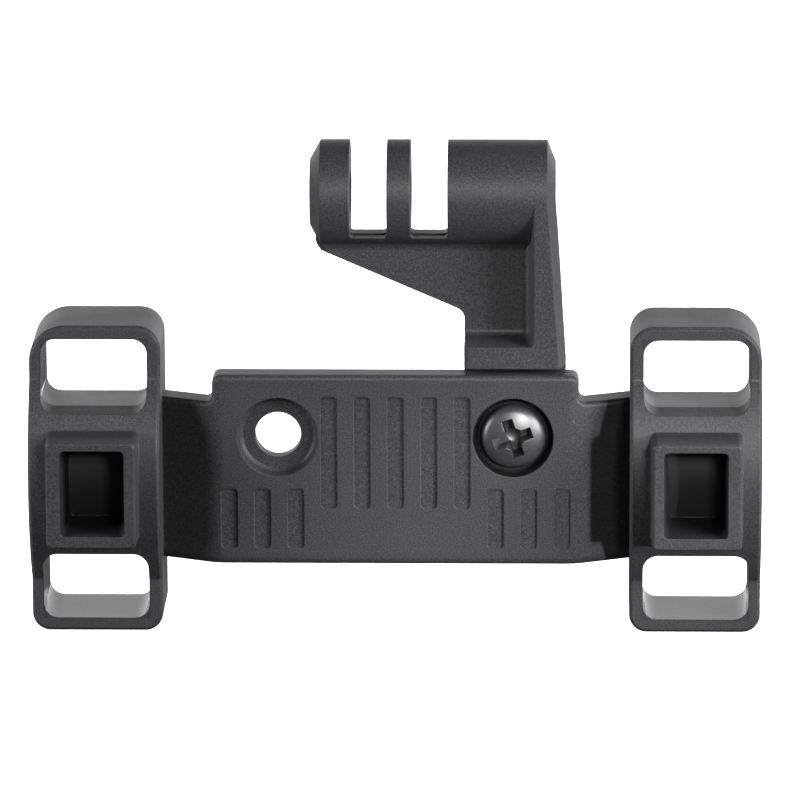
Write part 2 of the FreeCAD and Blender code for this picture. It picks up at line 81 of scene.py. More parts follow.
class Node(Enum):
    """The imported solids."""

    BRACKET = "bridge_bracket"
    ARM = "finger_arm"
    SCREW = "arm_screw"
    ARM_NUT = "arm_nut"
    FINGER_NUT = "finger_nut"


class Slot(Enum):
    """The record's material slots, named for the new pieces; the nuts carry theirs, but get their
    finish apart from them.
    """

    SCREW = "black_screw"
    STEEL = "nut_steel"
    BRASS = "nut_brass"


class Join(Enum):
    """Ways to combine a piece with a tool."""

    WELD = "UNION"
    CUT = "DIFFERENCE"
    KEEP_SHARED = "INTERSECT"


class Gives(Enum):
    """What a lamp adds to a surface: all its light, its gleam alone, or its even light alone."""

    ALL = "all"
    GLEAM = "gleam"
    EVEN_LIGHT = "even_light"


class Heading(Enum):
    """Directions that a turned piece's axis points in, as the turn that brings +Z there."""

    FORWARD = Matrix.Rotation(math.radians(90), 4, "X")
    BACK = Matrix.Rotation(math.radians(-90), 4, "X")
    RIGHT = Matrix.Rotation(math.radians(90), 4, "Y")


def to_linear(hex_colour: str) -> tuple[float, float, float, float]:
    """Turn an sRGB hex colour into linear RGBA.

    Args:
        hex_colour: The colour as "#rrggbb".

    Returns:
        Linear red, green, blue and an alpha of one.
    """
    channels = [int(hex_colour[i : i + 2], 16) / 255 for i in (1, 3, 5)]
    linear = [c / 12.92 if c <= 0.04045 else ((c + 0.055) / 1.055) ** 2.4 for c in channels]
    return (linear[0], linear[1], linear[2], 1.0)


def add_node(
    tree: bpy.types.NodeTree,
    kind: str,
    links: dict[str | int, bpy.types.NodeSocket] | None = None,
    values: dict[str | int, object] | None = None,
    **settings: object,
) -> bpy.types.Node:
    """Add a node with its settings, input values and links.

    Args:
        tree: The node tree that gets the node.
        kind: The node's type name.
        links: Input name, or number where names repeat, to the output socket that feeds it.
        values: Input name or number to its constant value.
        **settings: The node's own properties.

    Returns:
        The new node.
    """
    node = tree.nodes.new(kind)
    for name, value in settings.items():
        setattr(node, name, value)
    for name, value in (values or {}).items():
        node.inputs[name].default_value = value
    for name, socket in (links or {}).items():
        tree.links.new(socket, node.inputs[name])
    return node


def new_material(name: str) -> tuple[bpy.types.Material, bpy.types.NodeTree]:
    """Make an empty node material.

    Args:
        name: The material's name.

    Returns:
        The material and its node tree.
    """
    material = bpy.data.materials.new(name)
    material.use_nodes = True
    material.node_tree.nodes.clear()
    return material, material.node_tree


def add_noise(
    tree: bpy.types.NodeTree,
    place: bpy.types.NodeSocket,
    size_mm: float,
    detail: float,
    roughness: float = 0.5,
) -> bpy.types.NodeSocket:
    """Add a noise whose features have a real size.

    Args:
        tree: The node tree that gets the node.
        place: The Object coordinates.
        size_mm: The size of its largest features.
        detail: How many finer layers it has.
        roughness: How strong each finer layer is.

    Returns:
        The noise's value.
    """
    values = {"Scale": 1.0 / (size_mm * MM), "Detail": detail, "Roughness": roughness}
    return add_node(tree, "ShaderNodeTexNoise", {"Vector": place}, values).outputs["Fac"]


def add_ramp(
    tree: bpy.types.NodeTree,
    value: bpy.types.NodeSocket,
    span: tuple[float, float],
    result: tuple[float, float] = (0.0, 1.0),
) -> bpy.types.NodeSocket:
    """Add a straight ramp that stays level past its ends.

    Args:
        tree: The node tree that gets the node.
        value: The value that goes in.
        span: Where the ramp starts and ends.
        result: What it gives at its start and end.

    Returns:
        The ramp's result.
    """
    values = {"From Min": span[0], "From Max": span[1], "To Min": result[0], "To Max": result[1]}
    return add_node(tree, "ShaderNodeMapRange", {"Value": value}, values).outputs["Result"]


def add_tint(
    tree: bpy.types.NodeTree,
    share: bpy.types.NodeSocket,
    base: bpy.types.NodeSocket | str,
    tint_hex: str,
) -> bpy.types.NodeSocket:
    """Blend a colour into a tint.

    Args:
        tree: The node tree that gets the node.
        share: How much of the tint shows.
        base: The colour where none of it shows, as a socket or as "#rrggbb".
        tint_hex: The tint.

    Returns:
        The blended colour.
    """
    links = {"Factor": share}
    values = {"B": to_linear(tint_hex)}
    if isinstance(base, str):
        values["A"] = to_linear(base)
    else:
        links["A"] = base
    return add_node(tree, "ShaderNodeMix", links, values, data_type="RGBA").outputs["Result"]


def add_relief(
    tree: bpy.types.NodeTree,
    height: bpy.types.NodeSocket,
    depth_mm: float,
    strength: bpy.types.NodeSocket | float,
    edge_mm: float | None = None,
) -> bpy.types.NodeSocket:
    """Add a fine relief, on edges that are rounded a little where a radius is given.

    Args:
        tree: The node tree that gets the nodes.
        height: The relief's height.
        depth_mm: The height that a value of one stands for.
        strength: How much of the relief shows.
        edge_mm: Radius of the rounded edges.

    Returns:
        The surface's normal.
    """
    links = {"Height": height}
    values = {"Distance": depth_mm * MM}
    if isinstance(strength, float):
        values["Strength"] = strength
    else:
        links["Strength"] = strength
    if edge_mm is not None:
        edge = add_node(tree, "ShaderNodeBevel", values={"Radius": edge_mm * MM}, samples=EDGE_SAMPLES)
        links["Normal"] = edge.outputs["Normal"]
    return add_node(tree, "ShaderNodeBump", links, values).outputs["Normal"]


def add_surface(
    tree: bpy.types.NodeTree,
    links: dict[str, bpy.types.NodeSocket],
    values: dict[str, object],
) -> None:
    """Add the surface shader and the output that it feeds.

    Args:
        tree: The node tree that gets the nodes.
        links: The shader's input name to the socket that feeds it.
        values: The shader's input name to its constant value.
    """
    shader = add_node(tree, "ShaderNodeBsdfPrincipled", links, values)
    add_node(tree, "ShaderNodeOutputMaterial", {"Surface": shader.outputs["BSDF"]})


@dataclass(frozen=True)
class CoreAndShadeZone:
    """A box of the part, for walls that a smooth steel core forms and for recesses given painted shade;
    a mirrored one is given by distances from the middle.
    """

    inner_mm: float
    outer_mm: float
    low_mm: float
    high_mm: float
    front_mm: float
    back_mm: float
    mirrored: bool = True

    def mask(self, tree: bpy.types.NodeTree, place: bpy.types.NodeSocket) -> bpy.types.NodeSocket:
        """Add the nodes that are one inside the zone and nought outside it.

        Args:
            tree: The node tree that gets the nodes.
            place: The Object coordinates.

        Returns:
            The mask's socket.
        """
        axes = add_node(tree, "ShaderNodeSeparateXYZ", {"Vector": place})
        across = "ABSOLUTE" if self.mirrored else "ADD"
        spans = {
            "X": (self.inner_mm, self.outer_mm, across),
            "Y": (self.front_mm, self.back_mm, "ADD"),
            "Z": (self.low_mm, self.high_mm, across),
        }
        mask = None
        for axis, (low, high, measure) in spans.items():
            along = {0: axes.outputs[axis]}
            reach = {0: add_node(tree, "ShaderNodeMath", along, {1: 0.0}, operation=measure).outputs[0]}
            span = {1: (low + high) / 2 * MM, 2: (high - low) / 2 * MM}
            inside = add_node(tree, "ShaderNodeMath", reach, span, operation="COMPARE")
            if mask is None:
                mask = inside.outputs[0]
            else:
                both = {0: mask, 1: inside.outputs[0]}
                mask = add_node(tree, "ShaderNodeMath", both, operation="MULTIPLY").outputs[0]
        return mask


STRAP_WINDOWS = CoreAndShadeZone(
    inner_mm=24.6, outer_mm=35.45, low_mm=8.6, high_mm=14.5, front_mm=-14.0, back_mm=1.6
)
# Painted shade: the zone of the bosses' pockets, which is darkened to a deeper black.
POCKET_SHADE_ZONE = CoreAndShadeZone(
    inner_mm=26.3, outer_mm=33.5, low_mm=-4.9, high_mm=4.9, front_mm=-14.12, back_mm=-6.5
)
# Painted shadow: the zone of the seat round the screw's head, which is darkened to near-black.
HEAD_SHADOW_ZONE = CoreAndShadeZone(
    inner_mm=7.6, outer_mm=15.9, low_mm=0.23, high_mm=8.53, front_mm=-7.15, back_mm=-5.8, mirrored=False
)


@dataclass(frozen=True)
class MouldedNylon:
    """Black glass-filled nylon, injection moulded in a spark-eroded tool with smooth cores.

    The eye sees a soft charcoal black with an even fine grain, pale pin-prick flecks that are painted
    glints where the grain's tips catch the light, edges that the tool rounds a little, and glossier
    walls where a core slid out.
    The bosses' pockets are given a deeper black as painted shade for their dark insides, and the seat
    round the screw's head a near-black as the painted shadow of the head.
    """

    name: str
    windows: CoreAndShadeZone = STRAP_WINDOWS
    pockets: CoreAndShadeZone = POCKET_SHADE_ZONE
    seat: CoreAndShadeZone = HEAD_SHADOW_ZONE
    valley_hex: str = "#29292b"
    tip_hex: str = "#424244"
    painted_glint_hex: str = "#6a6a6c"
    pocket_shade_hex: str = "#252527"
    head_shadow_hex: str = "#131314"
    tip_span: tuple[float, float] = (0.32, 0.68)
    fleck_span: tuple[float, float] = (0.7, 0.84)
    cloud_span: tuple[float, float] = (0.35, 0.65)
    roughness: tuple[float, float] = (0.42, 0.5)
    window_roughness: float = 0.12
    ior: float = 1.52
    gloss: float = 0.12
    # Real grain is about 0.05 mm: drawn at a pixel and a half so that it shows.
    grain_mm: float = 0.15
    grain_roughness: float = 0.6
    grain_height_mm: float = 0.014
    grain_strength: float = 0.5
    window_grain_strength: float = 0.06
    fleck_mm: float = 0.16
    cloud_mm: float = 7.0
    edge_mm: float = 0.16

    def build(self) -> bpy.types.Material:
        """Make the material.

        Returns:
            The finished material.
        """
        material, tree = new_material(self.name)
        place = add_node(tree, "ShaderNodeTexCoord").outputs["Object"]
        window = self.windows.mask(tree, place)
        grain = add_noise(tree, place, self.grain_mm, 2.0, self.grain_roughness)
        fleck = add_noise(tree, place, self.fleck_mm, 1.0)
        cloud = add_noise(tree, place, self.cloud_mm, 3.0)
        colour = add_tint(tree, add_ramp(tree, grain, self.tip_span), self.valley_hex, self.tip_hex)
        # Painted glints: pale flecks that stand for the grain's tips catching the light.
        colour = add_tint(tree, add_ramp(tree, fleck, self.fleck_span), colour, self.painted_glint_hex)
        # Painted shade: the bosses' pockets are darkened to a deeper black.
        colour = add_tint(tree, self.pockets.mask(tree, place), colour, self.pocket_shade_hex)
        # Painted shadow: the seat round the screw's head is darkened to near-black, as the head's
        # shadow.
        colour = add_tint(tree, self.seat.mask(tree, place), colour, self.head_shadow_hex)
        roughness = add_node(
            tree,
            "ShaderNodeMix",
            {"Factor": window, "A": add_ramp(tree, cloud, self.cloud_span, self.roughness)},
            {"B": self.window_roughness},
        )
        strength = add_ramp(tree, window, (0.0, 1.0), (self.grain_strength, self.window_grain_strength))
        add_surface(
            tree,
            {
                "Base Color": colour,
                "Roughness": roughness.outputs["Result"],
                "Normal": add_relief(tree, grain, self.grain_height_mm, strength, self.edge_mm),
            },
            {"IOR": self.ior, "Specular IOR Level": self.gloss},
        )
        return material


@dataclass(frozen=True)
class BlackedSteel:
    """Steel screw with a black electro-coat over a stamped head.

    The eye sees a smoother black than the mouldings, with one broad soft gleam on the dome and thin
    bright rims where the cross recess breaks it.
    """

    name: str
    base_hex: str = "#2b2c2e"
    wear_hex: str = "#424346"
    wear_span: tuple[float, float] = (0.58, 0.85)
    roughness: float = 0.4
    ior: float = 1.55
    pit_mm: float = 0.3
    pit_depth_mm: float = 0.01
    pit_strength: float = 0.25
    edge_mm: float = 0.1

    def build(self) -> bpy.types.Material:
        """Make the material.

        Returns:
            The finished material.
        """
        material, tree = new_material(self.name)
        place = add_node(tree, "ShaderNodeTexCoord").outputs["Object"]
        pits = add_noise(tree, place, self.pit_mm, 3.0)
        wear = add_ramp(tree, pits, self.wear_span)
        add_surface(
            tree,
            {
                "Base Color": add_tint(tree, wear, self.base_hex, self.wear_hex),
                "Normal": add_relief(tree, pits, self.pit_depth_mm, self.pit_strength, self.edge_mm),
            },
            {"Roughness": self.roughness, "IOR": self.ior},
        )
        return material


@dataclass(frozen=True)
class BareMetal:
    """Nut metal: cold-formed steel with bright zinc plating, or turned brass left bare.

    The eye sees a clean metal, a little mottled by the plating bath or by handling, with soft edges.
    """

    name: str
    base_hex: str
    stain_hex: str
    mottle_mm: float = 1.2
    mottle_span: tuple[float, float] = (0.3, 0.7)
    mottle_depth_mm: float = 0.01
    mottle_strength: float = 0.2
    roughness: tuple[float, float] = (0.26, 0.4)
    edge_mm: float = 0.08

    def build(self) -> bpy.types.Material:
        """Make the material.

        Returns:
            The finished material.
        """
        material, tree = new_material(self.name)
        place = add_node(tree, "ShaderNodeTexCoord").outputs["Object"]
        mottle = add_noise(tree, place, self.mottle_mm, 4.0)
        relief = add_relief(tree, mottle, self.mottle_depth_mm, self.mottle_strength, self.edge_mm)
        add_surface(
            tree,
            {
                "Base Color": add_tint(tree, mottle, self.base_hex, self.stain_hex),
                "Roughness": add_ramp(tree, mottle, self.mottle_span, self.roughness),
                "Normal": relief,
            },
            {"Metallic": 1.0},
        )
        return material


@dataclass(frozen=True)
class LightTable:
    """Frosted white acrylic, lit from below: an even matt white on which hardly a shadow falls."""

    name: str = "frosted_white_acrylic"
    base_hex: str = "#fbfbfb"
    glow: float = 0.85
    roughness: float = 0.9
    gloss: float = 0.1
    frost_mm: float = 0.6
    frost_depth_mm: float = 0.02
    frost_strength: float = 0.1

    def build(self) -> bpy.types.Material:
        """Make the material.

        Returns:
            The finished material.
        """
        material, tree = new_material(self.name)
        place = add_node(tree, "ShaderNodeTexCoord").outputs["Object"]
        frost = add_noise(tree, place, self.frost_mm, 2.0)
        add_surface(
            tree,
            {"Normal": add_relief(tree, frost, self.frost_depth_mm, self.frost_strength)},
            {
                "Base Color": to_linear(self.base_hex),
                "Roughness": self.roughness,
                "Specular IOR Level": self.gloss,
                "Emission Color": to_linear(self.base_hex),
                "Emission Strength": self.glow,
            },
        )
        return material


def deselect() -> None:
    """Leave edit mode and select nothing."""
    if bpy.context.object is not None and bpy.context.object.mode != "OBJECT":
        bpy.ops.object.mode_set(mode="OBJECT")
    bpy.ops.object.select_all(action="DESELECT")


def activate(piece: bpy.types.Object) -> None:
    """Select one piece alone and make it active."""
    deselect()
    piece.select_set(True)
    bpy.context.view_layer.objects.active = piece


def arc(
    centre_mm: tuple[float, float], radius_mm: float, start: float, end: float, steps: int = 8
) -> list[tuple[float, float]]:
    """Trace an arc of a turned piece's outline.

    Args:
        centre_mm: Its centre, as radius and height.
        radius_mm: Its own radius.
        start: Angle from the axis where it starts, in radians.
        end: Angle from the axis where it ends.
        steps: Straight lines that it is made of.

    Returns:
        (radius, height) points along it.
    """
    out, up = centre_mm
    angles = [start + (end - start) * i / steps for i in range(steps + 1)]
    return [(out + radius_mm * math.sin(angle), up + radius_mm * math.cos(angle)) for angle in angles]


def turned(name: str, profile_mm: list[tuple[float, float]], steps: int = 72) -> bpy.types.Object:
    """Turn an outline about Z, as on a lathe.

    Args:
        name: The piece's name.
        profile_mm: (radius, height) points of the outline, from axis to axis or as a closed ring.
        steps: Facets round the axis.

    Returns:
        The turned piece, in millimetres about the origin.
    """
    deselect()
    bpy.ops.mesh.primitive_plane_add(size=1)
    piece = bpy.context.object
    piece.name = name
    bpy.ops.object.mode_set(mode="EDIT")
    bpy.ops.mesh.select_mode(type="VERT")
    bpy.ops.mesh.select_all(action="SELECT")
    bpy.ops.mesh.merge(type="CENTER")
    bpy.ops.transform.translate(value=(profile_mm[0][0], 0, profile_mm[0][1]))
    for (radius, height), (last_radius, last_height) in zip(profile_mm[1:], profile_mm):
        step = (radius - last_radius, 0, height - last_height)
        bpy.ops.mesh.extrude_region_move(TRANSFORM_OT_translate={"value": step})
    bpy.ops.mesh.select_all(action="SELECT")
    bpy.ops.mesh.spin(steps=steps, angle=2 * math.pi, center=(0, 0, 0), axis=(0, 0, 1))
    bpy.ops.mesh.select_all(action="SELECT")
    bpy.ops.mesh.remove_doubles(threshold=MERGE_MM)
    bpy.ops.mesh.normals_make_consistent(inside=False)
    bpy.ops.object.mode_set(mode="OBJECT")
    return piece


def combine(piece: bpy.types.Object, tool: bpy.types.Object, how: Join) -> None:
    """Weld a tool to a piece, cut it out or keep what both share, and remove the tool.

    Args:
        piece: The piece that changes.
        tool: The piece it is combined with.
        how: The way to combine them.
    """
    modifier = piece.modifiers.new("combine", "BOOLEAN")
    modifier.operation = how.value
    modifier.object = tool
    modifier.solver = "EXACT"
    modifier.use_self = True
    activate(piece)
    bpy.ops.object.modifier_apply(modifier=modifier.name)
    bpy.data.objects.remove(tool)


def settle(piece: bpy.types.Object, heading: Heading, seat: Vector, spin_deg: float = 0.0) -> None:
    """Turn a piece made in millimetres about Z to its heading, move it to its seat and apply that.

    Args:
        piece: The piece.
        heading: Where its axis points.
        seat: Where its origin goes, in metres.
        spin_deg: Turn about its own axis before that.
    """
    spin = Matrix.Rotation(math.radians(spin_deg), 4, "Z")
    piece.matrix_world = Matrix.Translation(seat) @ heading.value @ spin @ Matrix.Scale(MM, 4)
    activate(piece)
    bpy.ops.object.transform_apply(location=True, rotation=True, scale=True)
    bpy.ops.object.shade_smooth_by_angle(angle=math.radians(SMOOTH_DEG))
    bpy.ops.object.select_all(action="DESELECT")


@dataclass
class MetricThread:
    """The M4 coarse thread that the screw and both nuts share."""

    pitch_mm: float = 0.7
    crest_mm: float = 1.95
    root_mm: float = 1.52
    crest_flat_mm: float = 0.1
    root_flat_mm: float = 0.6
    foot_sink_mm: float = 0.1
    steps: int = 40

    def ridge(self, name: str, low_mm: float, turns: int, swell_mm: float = 0.0) -> bpy.types.Object:
        """Wind the thread's ridge about Z, closed at both ends.

        Args:
            name: The piece's name.
            low_mm: Height where the ridge starts.
            turns: Whole turns that it makes.
            swell_mm: Extra radius, for the clearance of a nut's thread.

        Returns:
            The ridge, whose foot lies inside the core.
        """
        foot = self.root_mm - self.foot_sink_mm + swell_mm
        crest = self.crest_mm + swell_mm
        deselect()
        bpy.ops.mesh.primitive_plane_add(size=1)
        ridge = bpy.context.object
        ridge.name = name
        bpy.ops.object.mode_set(mode="EDIT")
        bpy.ops.mesh.select_all(action="SELECT")
        bpy.ops.mesh.delete(type="ONLY_FACE")
        bpy.ops.object.mode_set(mode="OBJECT")
        for corner in ridge.data.vertices:
            outer = corner.co.x > 0
            half = (self.crest_flat_mm if outer else self.root_flat_mm) / 2
            corner.co = (crest if outer else foot, 0, low_mm + math.copysign(half, corner.co.y))
        screw = ridge.modifiers.new("wind", "SCREW")
        screw.axis = "Z"
        screw.angle = 2 * math.pi
        screw.screw_offset = self.pitch_mm
        screw.iterations = turns
        screw.steps = self.steps
        screw.render_steps = self.steps
        activate(ridge)
        bpy.ops.object.modifier_apply(modifier=screw.name)
        bpy.ops.object.mode_set(mode="EDIT")
        bpy.ops.mesh.select_all(action="SELECT")
        bpy.ops.mesh.fill_holes(sides=4)
        bpy.ops.mesh.select_all(action="SELECT")
        bpy.ops.mesh.normals_make_consistent(inside=False)
        bpy.ops.object.mode_set(mode="OBJECT")
        return ridge


@dataclass
class PanHeadScrew:
    """The black pan head screw with its cross recess, which clamps the arm to the plate."""

    finish: BlackedSteel
    thread: MetricThread
    head_radius_mm: float = 3.25
    head_height_mm: float = 1.8
    dome_radius_mm: float = 7.1
    shoulder_mm: float = 1.1
    under_chamfer_mm: float = 0.08
    length_mm: float = 4.95
    plain_shank_mm: float = 1.1
    tip_chamfer_mm: float = 0.4
    thread_start_mm: float = 0.45
    thread_spare_mm: float = 0.8
    wing_span_mm: float = 4.1
    wing_width_mm: float = 1.14
    span_taper: float = 0.74
    width_taper: float = 0.86
    hub_radius_mm: float = 1.15
    hub_taper: float = 0.6
    hub_sink_mm: float = 0.05
    hub_point_mm: float = 0.3
    recess_depth_mm: float = 2.1
    cross_turn_deg: float = 19.0
    # The recess's cutters end at different heights, so that no two of their faces share a plane.
    hub_rise_mm: float = 0.8
    blade_rises_mm: tuple[float, float] = (0.9, 1.0)

    def profile(self) -> list[tuple[float, float]]:
        """Trace half of the screw's outline.

        Returns:
            (radius, height) points from the dome's top to the tip, with the seat at height zero.
        """
        dome_z = self.head_height_mm - self.dome_radius_mm
        shoulder_out = self.head_radius_mm - self.shoulder_mm
        reach = self.dome_radius_mm - self.shoulder_mm
        shoulder_z = dome_z + math.sqrt(reach**2 - shoulder_out**2)
        meet = math.asin(shoulder_out / reach)
        core = self.thread.root_mm
        shank = self.thread.crest_mm
        tip = self.tip_chamfer_mm
        dome = arc((0.0, dome_z), self.dome_radius_mm, 0.0, meet)
        shoulder = arc((shoulder_out, shoulder_z), self.shoulder_mm, meet, math.pi / 2)
        return [
            *dome,
            *shoulder[1:],
            (self.head_radius_mm, self.under_chamfer_mm),
            (self.head_radius_mm - self.under_chamfer_mm, 0.0),
            (shank, 0.0),
            (shank, -self.plain_shank_mm),
            (core, -self.plain_shank_mm - (shank - core)),
            (core, tip - self.length_mm),
            (core - tip, -self.length_mm),
            (0.0, -self.length_mm),
        ]

    def blade(self, name: str, turn_deg: float, top_mm: float) -> bpy.types.Object:
        """Make one of the recess's two blades, which taper as they go down.

        Args:
            name: The blade's name.
            turn_deg: Its turn about the screw's axis.
            top_mm: How far it stands above the dome's top.

        Returns:
            The blade, with the dome's top at height zero.
        """
        deselect()
        bpy.ops.mesh.primitive_cube_add(size=1)
        blade = bpy.context.object
        blade.name = name
        bpy.ops.object.mode_set(mode="EDIT")
        bpy.ops.mesh.select_all(action="SELECT")
        bpy.ops.transform.resize(value=(self.wing_span_mm, self.wing_width_mm, self.recess_depth_mm))
        bpy.ops.transform.translate(value=(0, 0, -self.recess_depth_mm / 2))
        bpy.ops.mesh.select_mode(type="FACE")
        bpy.ops.mesh.select_all(action="DESELECT")
        bpy.ops.object.mode_set(mode="OBJECT")
        for corner in blade.data.vertices:
            if corner.co.z < -self.recess_depth_mm / 2:
                corner.co.x *= self.span_taper
                corner.co.y *= self.width_taper
        for face in blade.data.polygons:
            face.select = face.normal.z > 0.9
        bpy.ops.object.mode_set(mode="EDIT")
        bpy.ops.mesh.extrude_region_move(TRANSFORM_OT_translate={"value": (0, 0, top_mm)})
        bpy.ops.object.mode_set(mode="OBJECT")
        blade.rotation_euler.z = math.radians(turn_deg)
        activate(blade)
        bpy.ops.object.transform_apply(rotation=True)
        return blade

    def recess(self) -> bpy.types.Object:
        """Make the cutter for the cross recess: two tapered blades and a blunt cone between them.

        Returns:
            The cutter, with its mouth at the dome's top.
        """
        depth = self.recess_depth_mm
        radius = self.hub_radius_mm
        outline = [
            (0, -depth - self.hub_point_mm),
            (self.hub_taper * radius, -depth - self.hub_sink_mm),
            (radius, 0),
            (radius, self.hub_rise_mm),
            (0, self.hub_rise_mm),
        ]
        hub = turned("recess_hub", outline, 32)
        for name, turn_deg, rise in zip("ab", (0.0, 90.0), self.blade_rises_mm):
            combine(hub, self.blade(f"recess_blade_{name}", turn_deg, rise), Join.WELD)
        hub.matrix_world = Matrix.Translation((0, 0, self.head_height_mm))
        activate(hub)
        bpy.ops.object.transform_apply(location=True)
        return hub

    def build(self) -> bpy.types.Object:
        """Make the screw, seat it where its solid is and dress it.

        Returns:
            The finished screw.
        """
        low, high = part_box(Node.SCREW.value)
        screw = turned("pan_head_screw", self.profile(), FINE_FACETS)
        combine(screw, self.recess(), Join.CUT)
        run = self.length_mm - self.plain_shank_mm - self.thread_spare_mm
        turns = int(run / self.thread.pitch_mm)
        ridge = self.thread.ridge("screw_ridge", self.thread_start_mm - self.length_mm, turns)
        combine(screw, ridge, Join.WELD)
        seat = Vector(((low.x + high.x) / 2, high.y - self.length_mm * MM, (low.z + high.z) / 2))
        settle(screw, Heading.FORWARD, seat, self.cross_turn_deg)
        screw.data.materials.append(self.finish.build())
        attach(screw, BODY)
        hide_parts(Node.SCREW.value)
        return screw


@dataclass
class ThreadedNut:
    """What both nuts share: a threaded bore, and a place in the solid that they stand for."""

    name: str
    node: Node
    heading: Heading
    finish: bpy.types.Material
    slot: Slot
    thread: MetricThread
    length_mm: float
    bore_swell_mm: float = 0.13
    mouth_play_mm: float = 0.1
    thread_start_mm: float = 0.05
    overshoot_mm: float = 1.0

    def blank(self) -> bpy.types.Object:
        """Make the nut's outside; each kind of nut has its own.

        Returns:
            The blank, standing on its seat at height zero.
        """
        raise NotImplementedError

    def tap(self) -> bpy.types.Object:
        """Make the cutter for the countersunk and threaded bore.

        Returns:
            The cutter.
        """
        high = self.length_mm
        bore = self.thread.root_mm + self.bore_swell_mm
        mouth = self.thread.crest_mm + self.bore_swell_mm + self.mouth_play_mm
        sink = mouth - bore
        past = self.overshoot_mm
        outline = [
            (0, -past),
            (mouth, -past),
            (mouth, 0),
            (bore, sink),
            (bore, high - sink),
            (mouth, high),
            (mouth, high + past),
            (0, high + past),
        ]
        cutter = turned("tap_core", outline, 64)
        turns = int(high / self.thread.pitch_mm)
        ridge = self.thread.ridge("tap_ridge", self.thread_start_mm, turns, self.bore_swell_mm)
        combine(cutter, ridge, Join.WELD)
        return cutter

    def build(self) -> bpy.types.Object:
        """Make the nut, seat it where its solid is and dress it.

        Returns:
            The finished nut.
        """
        nut = self.blank()
        combine(nut, self.tap(), Join.CUT)
        low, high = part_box(self.node.value)
        to_seat = (self.heading.value @ Vector((0, 0, 1))) * (-self.length_mm / 2 * MM)
        settle(nut, self.heading, (low + high) / 2 + to_seat)
        nut.data.materials.append(self.finish)
        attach(nut, BODY)
        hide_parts(self.node.value)
        return nut


@dataclass
class HexNut(ThreadedNut):
    """The thin hexagon nut in the tongue's back, chamfered on its open side."""

    flats_mm: float = 7.0
    chamfer_deg: float = 30.0
    rim_margin_mm: float = 0.3
    face_inset_mm: float = 0.02
    face_rise_mm: float = 0.01

    def blank(self) -> bpy.types.Object:
        """Make the hexagon with its turned chamfer.

        Returns:
            The blank, standing on its seat at height zero.
        """
        corner = self.flats_mm / math.sqrt(3)
        half = self.flats_mm / 2
        fall = (corner - half) * math.tan(math.radians(self.chamfer_deg))
        high = self.length_mm
        deselect()
        bpy.ops.mesh.primitive_cylinder_add(vertices=6, radius=corner, depth=high)
        nut = bpy.context.object
        nut.name = self.name
        bpy.ops.object.mode_set(mode="EDIT")
        bpy.ops.mesh.select_all(action="SELECT")
        bpy.ops.transform.translate(value=(0, 0, high / 2))
        bpy.ops.object.mode_set(mode="OBJECT")
        wide = corner + self.rim_margin_mm
        past_fall = fall * self.rim_margin_mm / (corner - half)
        top = high + self.face_rise_mm
        rim = [
            (0, -self.overshoot_mm),
            (wide, -self.overshoot_mm),
            (wide, high - fall - past_fall),
            (half - self.face_inset_mm, top),
            (0, top),
        ]
        combine(nut, turned("nut_rim", rim, FINE_FACETS), Join.KEEP_SHARED)
        return nut


@dataclass
class KnurledNut(ThreadedNut):
    """The round press-in nut of the barrel's end, with two knurled bands and a groove between them."""

    radius_mm: float = 2.6
    groove_mm: float = 0.3
    groove_width_mm: float = 1.2
    groove_slope_mm: float = 0.1
    chamfer_mm: float = 0.25
    ridges: int = 44
    knurl_depth_mm: float = 0.12
    near_mm: float = 0.01

    def blank(self) -> bpy.types.Object:
        """Turn the bush and pull every second line of its bands in to form the knurl.

        Returns:
            The blank, standing on its seat at height zero.
        """
        high = self.length_mm
        low_band = (high - self.groove_width_mm) / 2
        outer = self.radius_mm
        inner = outer - self.groove_mm
        slope = self.groove_slope_mm
        outline = [
            (0, 0),
            (outer - self.chamfer_mm, 0),
            (outer, self.chamfer_mm),
            (outer, low_band - slope),
            (inner, low_band + slope),
            (inner, high - low_band - slope),
            (outer, high - low_band + slope),
            (outer, high - self.chamfer_mm),
            (outer - self.chamfer_mm, high),
            (0, high),
        ]
        nut = turned(self.name, outline, 2 * self.ridges)
        step = math.pi / self.ridges
        for corner in nut.data.vertices:
            reach = math.hypot(corner.co.x, corner.co.y)
            line = round(math.atan2(corner.co.y, corner.co.x) / step)
            if reach > outer - self.near_mm and line % 2:
                corner.co.x *= 1 - self.knurl_depth_mm / reach
                corner.co.y *= 1 - self.knurl_depth_mm / reach
        return nut


@dataclass
class Moulding:
    """One of the two nylon mouldings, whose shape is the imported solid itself."""

    node: Node
    finish: MouldedNylon

    def build(self, nodes: dict[str, bpy.types.Object]) -> bpy.types.Object:
        """Dress the solid.

        Args:
            nodes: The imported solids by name.

        Returns:
            The dressed solid.
        """
        solid = nodes[self.node.value]
        solid.data.materials.clear()
        solid.data.materials.append(self.finish.build())
        return solid


@dataclass
class Lamp:
    """What all lights share: a place, a point that they face and a power."""

    name: str
    place_mm: tuple[float, float, float]
    target_mm: tuple[float, float, float]
    power_w: float

    def hang(self, kind: str) -> bpy.types.Object:
        """Add a light in the lamp's place.

        Args:
            kind: The light's type.

        Returns:
            The light object.
        """
        deselect()
        place = Vector(self.place_mm) * MM
        aim = Vector(self.target_mm) * MM - place
        turn = aim.to_track_quat("-Z", "Y").to_euler()
        bpy.ops.object.light_add(type=kind, location=place, rotation=turn)
        light = bpy.context.object
        light.name = self.name
        light.data.energy = self.power_w
        return light


@dataclass
class SoftBox(Lamp):
    """A rectangular studio light."""

    width_mm: float
    height_mm: float
    gives: Gives = Gives.ALL

    def build(self) -> bpy.types.Object:
        """Make the light.

        Returns:
            The light object.
        """
        light = self.hang("AREA")
        light.data.shape = "RECTANGLE"
        light.data.size = self.width_mm * MM
        light.data.size_y = self.height_mm * MM
        light.visible_diffuse = self.gives is not Gives.GLEAM
        light.visible_glossy = self.gives is not Gives.EVEN_LIGHT
        return light


